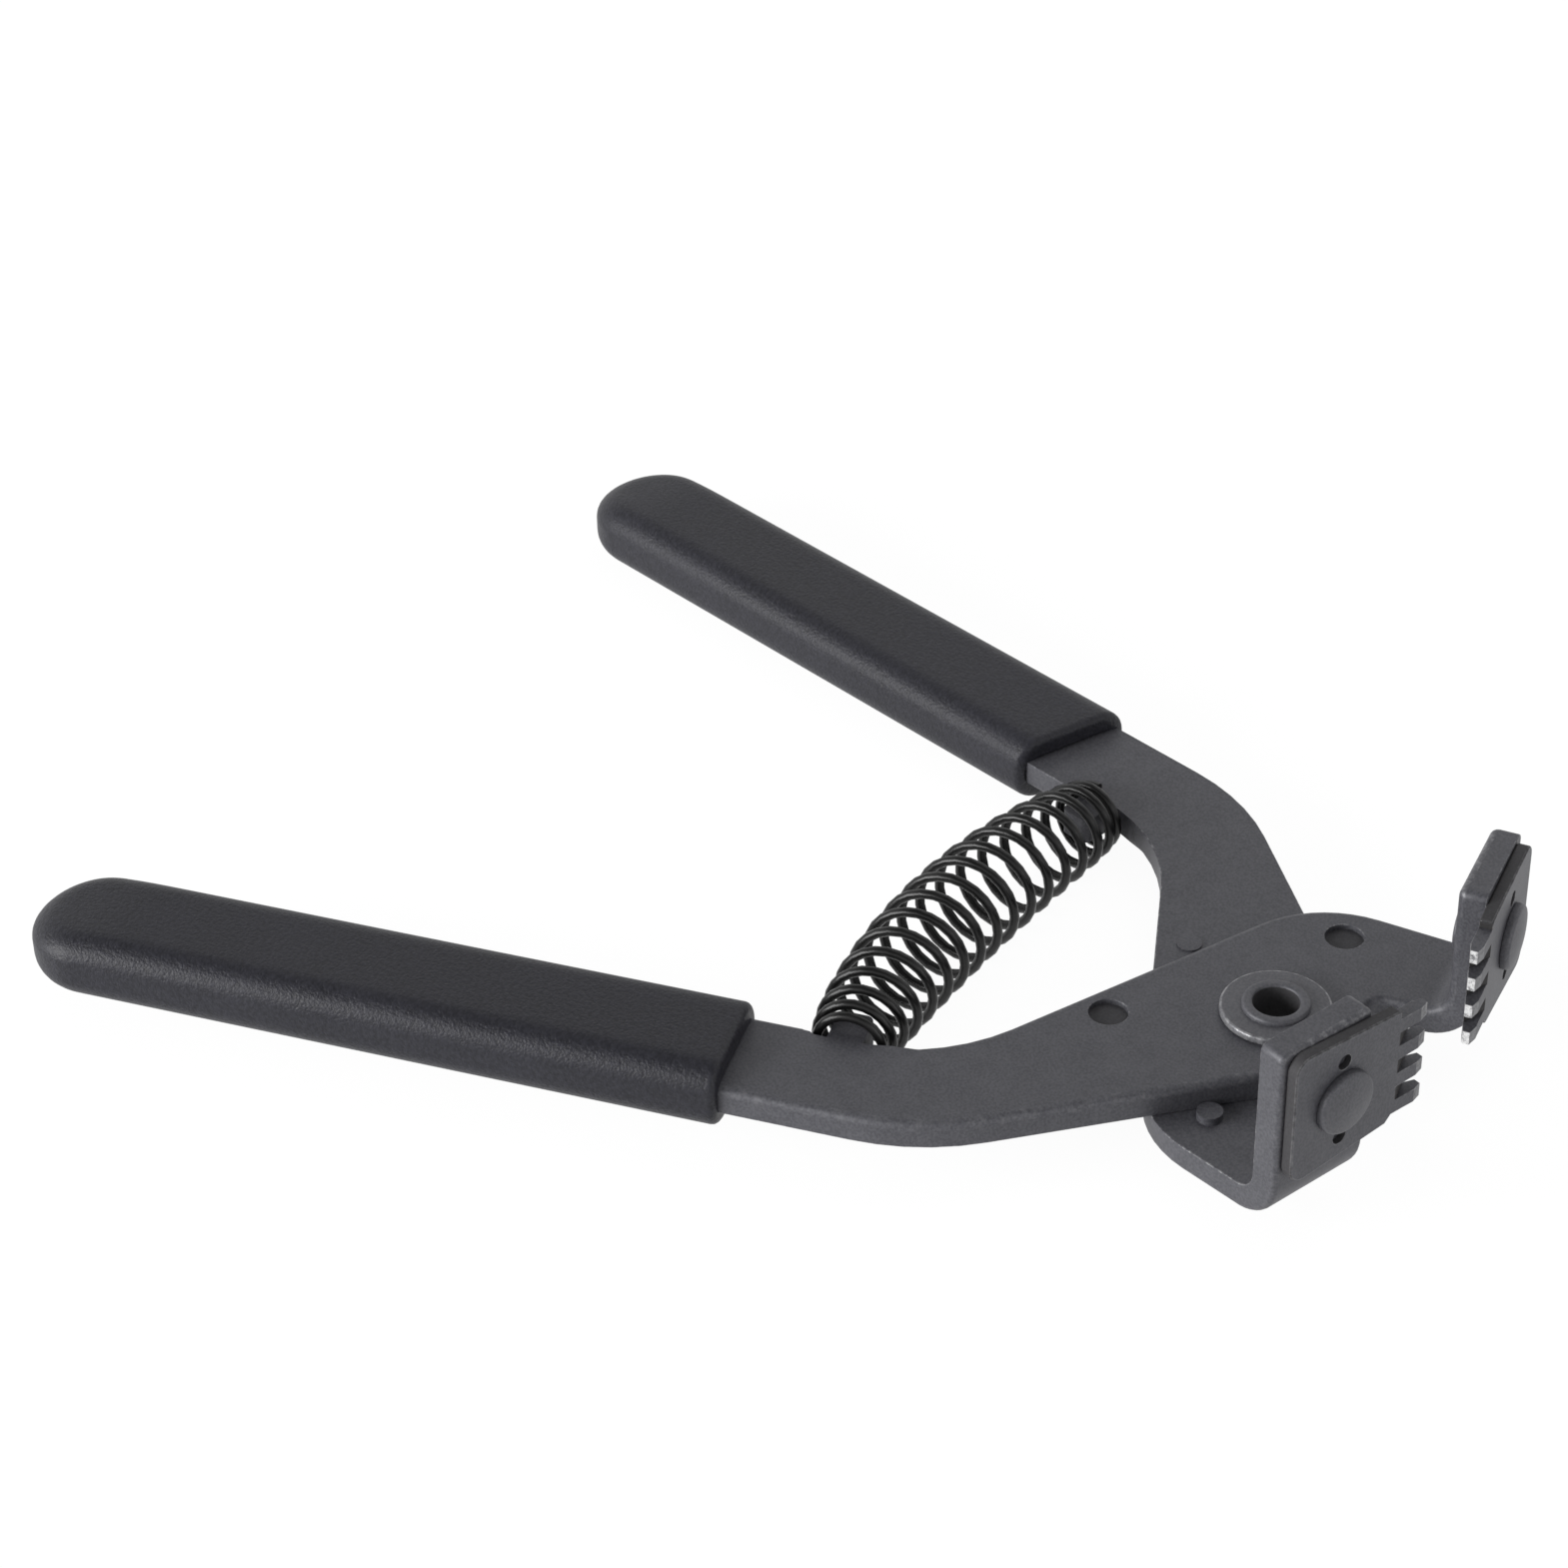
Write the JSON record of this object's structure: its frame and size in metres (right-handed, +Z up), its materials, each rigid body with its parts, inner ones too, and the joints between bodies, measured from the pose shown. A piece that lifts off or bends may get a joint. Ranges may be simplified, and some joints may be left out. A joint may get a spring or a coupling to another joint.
{
  "type": "spring clamp pliers",
  "caption": "Hand clamp of crossed strip-steel arms that a barrel spring holds open, with upright toothed jaw plates and dipped soft grips.",
  "frame": {"origin": "on the pivot axis, at the underside of the lower arm", "axes": "+Z up along the hollow pivot rivet, +X towards the jaws along the centre line between the handles, +Y to the side of the lower arm's handle"},
  "size_m": [0.1565, 0.1306, 0.0281],
  "materials": {
    "arm_steel": "dark satin, fine grain",
    "jaw_steel": "dark satin, tooth tips ground bright",
    "rivet_steel": "dark satin",
    "washer_steel": "dark satin, bright at its edge",
    "spring_steel": "black, semi-gloss",
    "grip_vinyl": "charcoal black dipped PVC, fine matte grain"
  },
  "bodies": {
    "lower": {"lower_arm": "arm_steel", "lower_grip": "grip_vinyl", "lower_jaw_plate": "jaw_steel", "lower_jaw_rivet": "rivet_steel", "pivot_rivet": "rivet_steel", "top_washer": "washer_steel", "bottom_washer": "washer_steel", "spring": "spring_steel"},
    "upper": {"upper_arm": "arm_steel", "upper_grip": "grip_vinyl", "upper_jaw_plate": "jaw_steel", "upper_jaw_rivet": "rivet_steel"}
  },
  "joints": [
    {"name": "squeeze", "type": "hinge", "parent": "lower", "child": "upper", "pos_m": [0, 0, 0], "axis": [0, 0, -1], "range_deg": [0, 27], "stiffness_Nm_per_rad": 2.2, "springref_deg": -18.33, "deforming": ["spring"]}
  ]
}
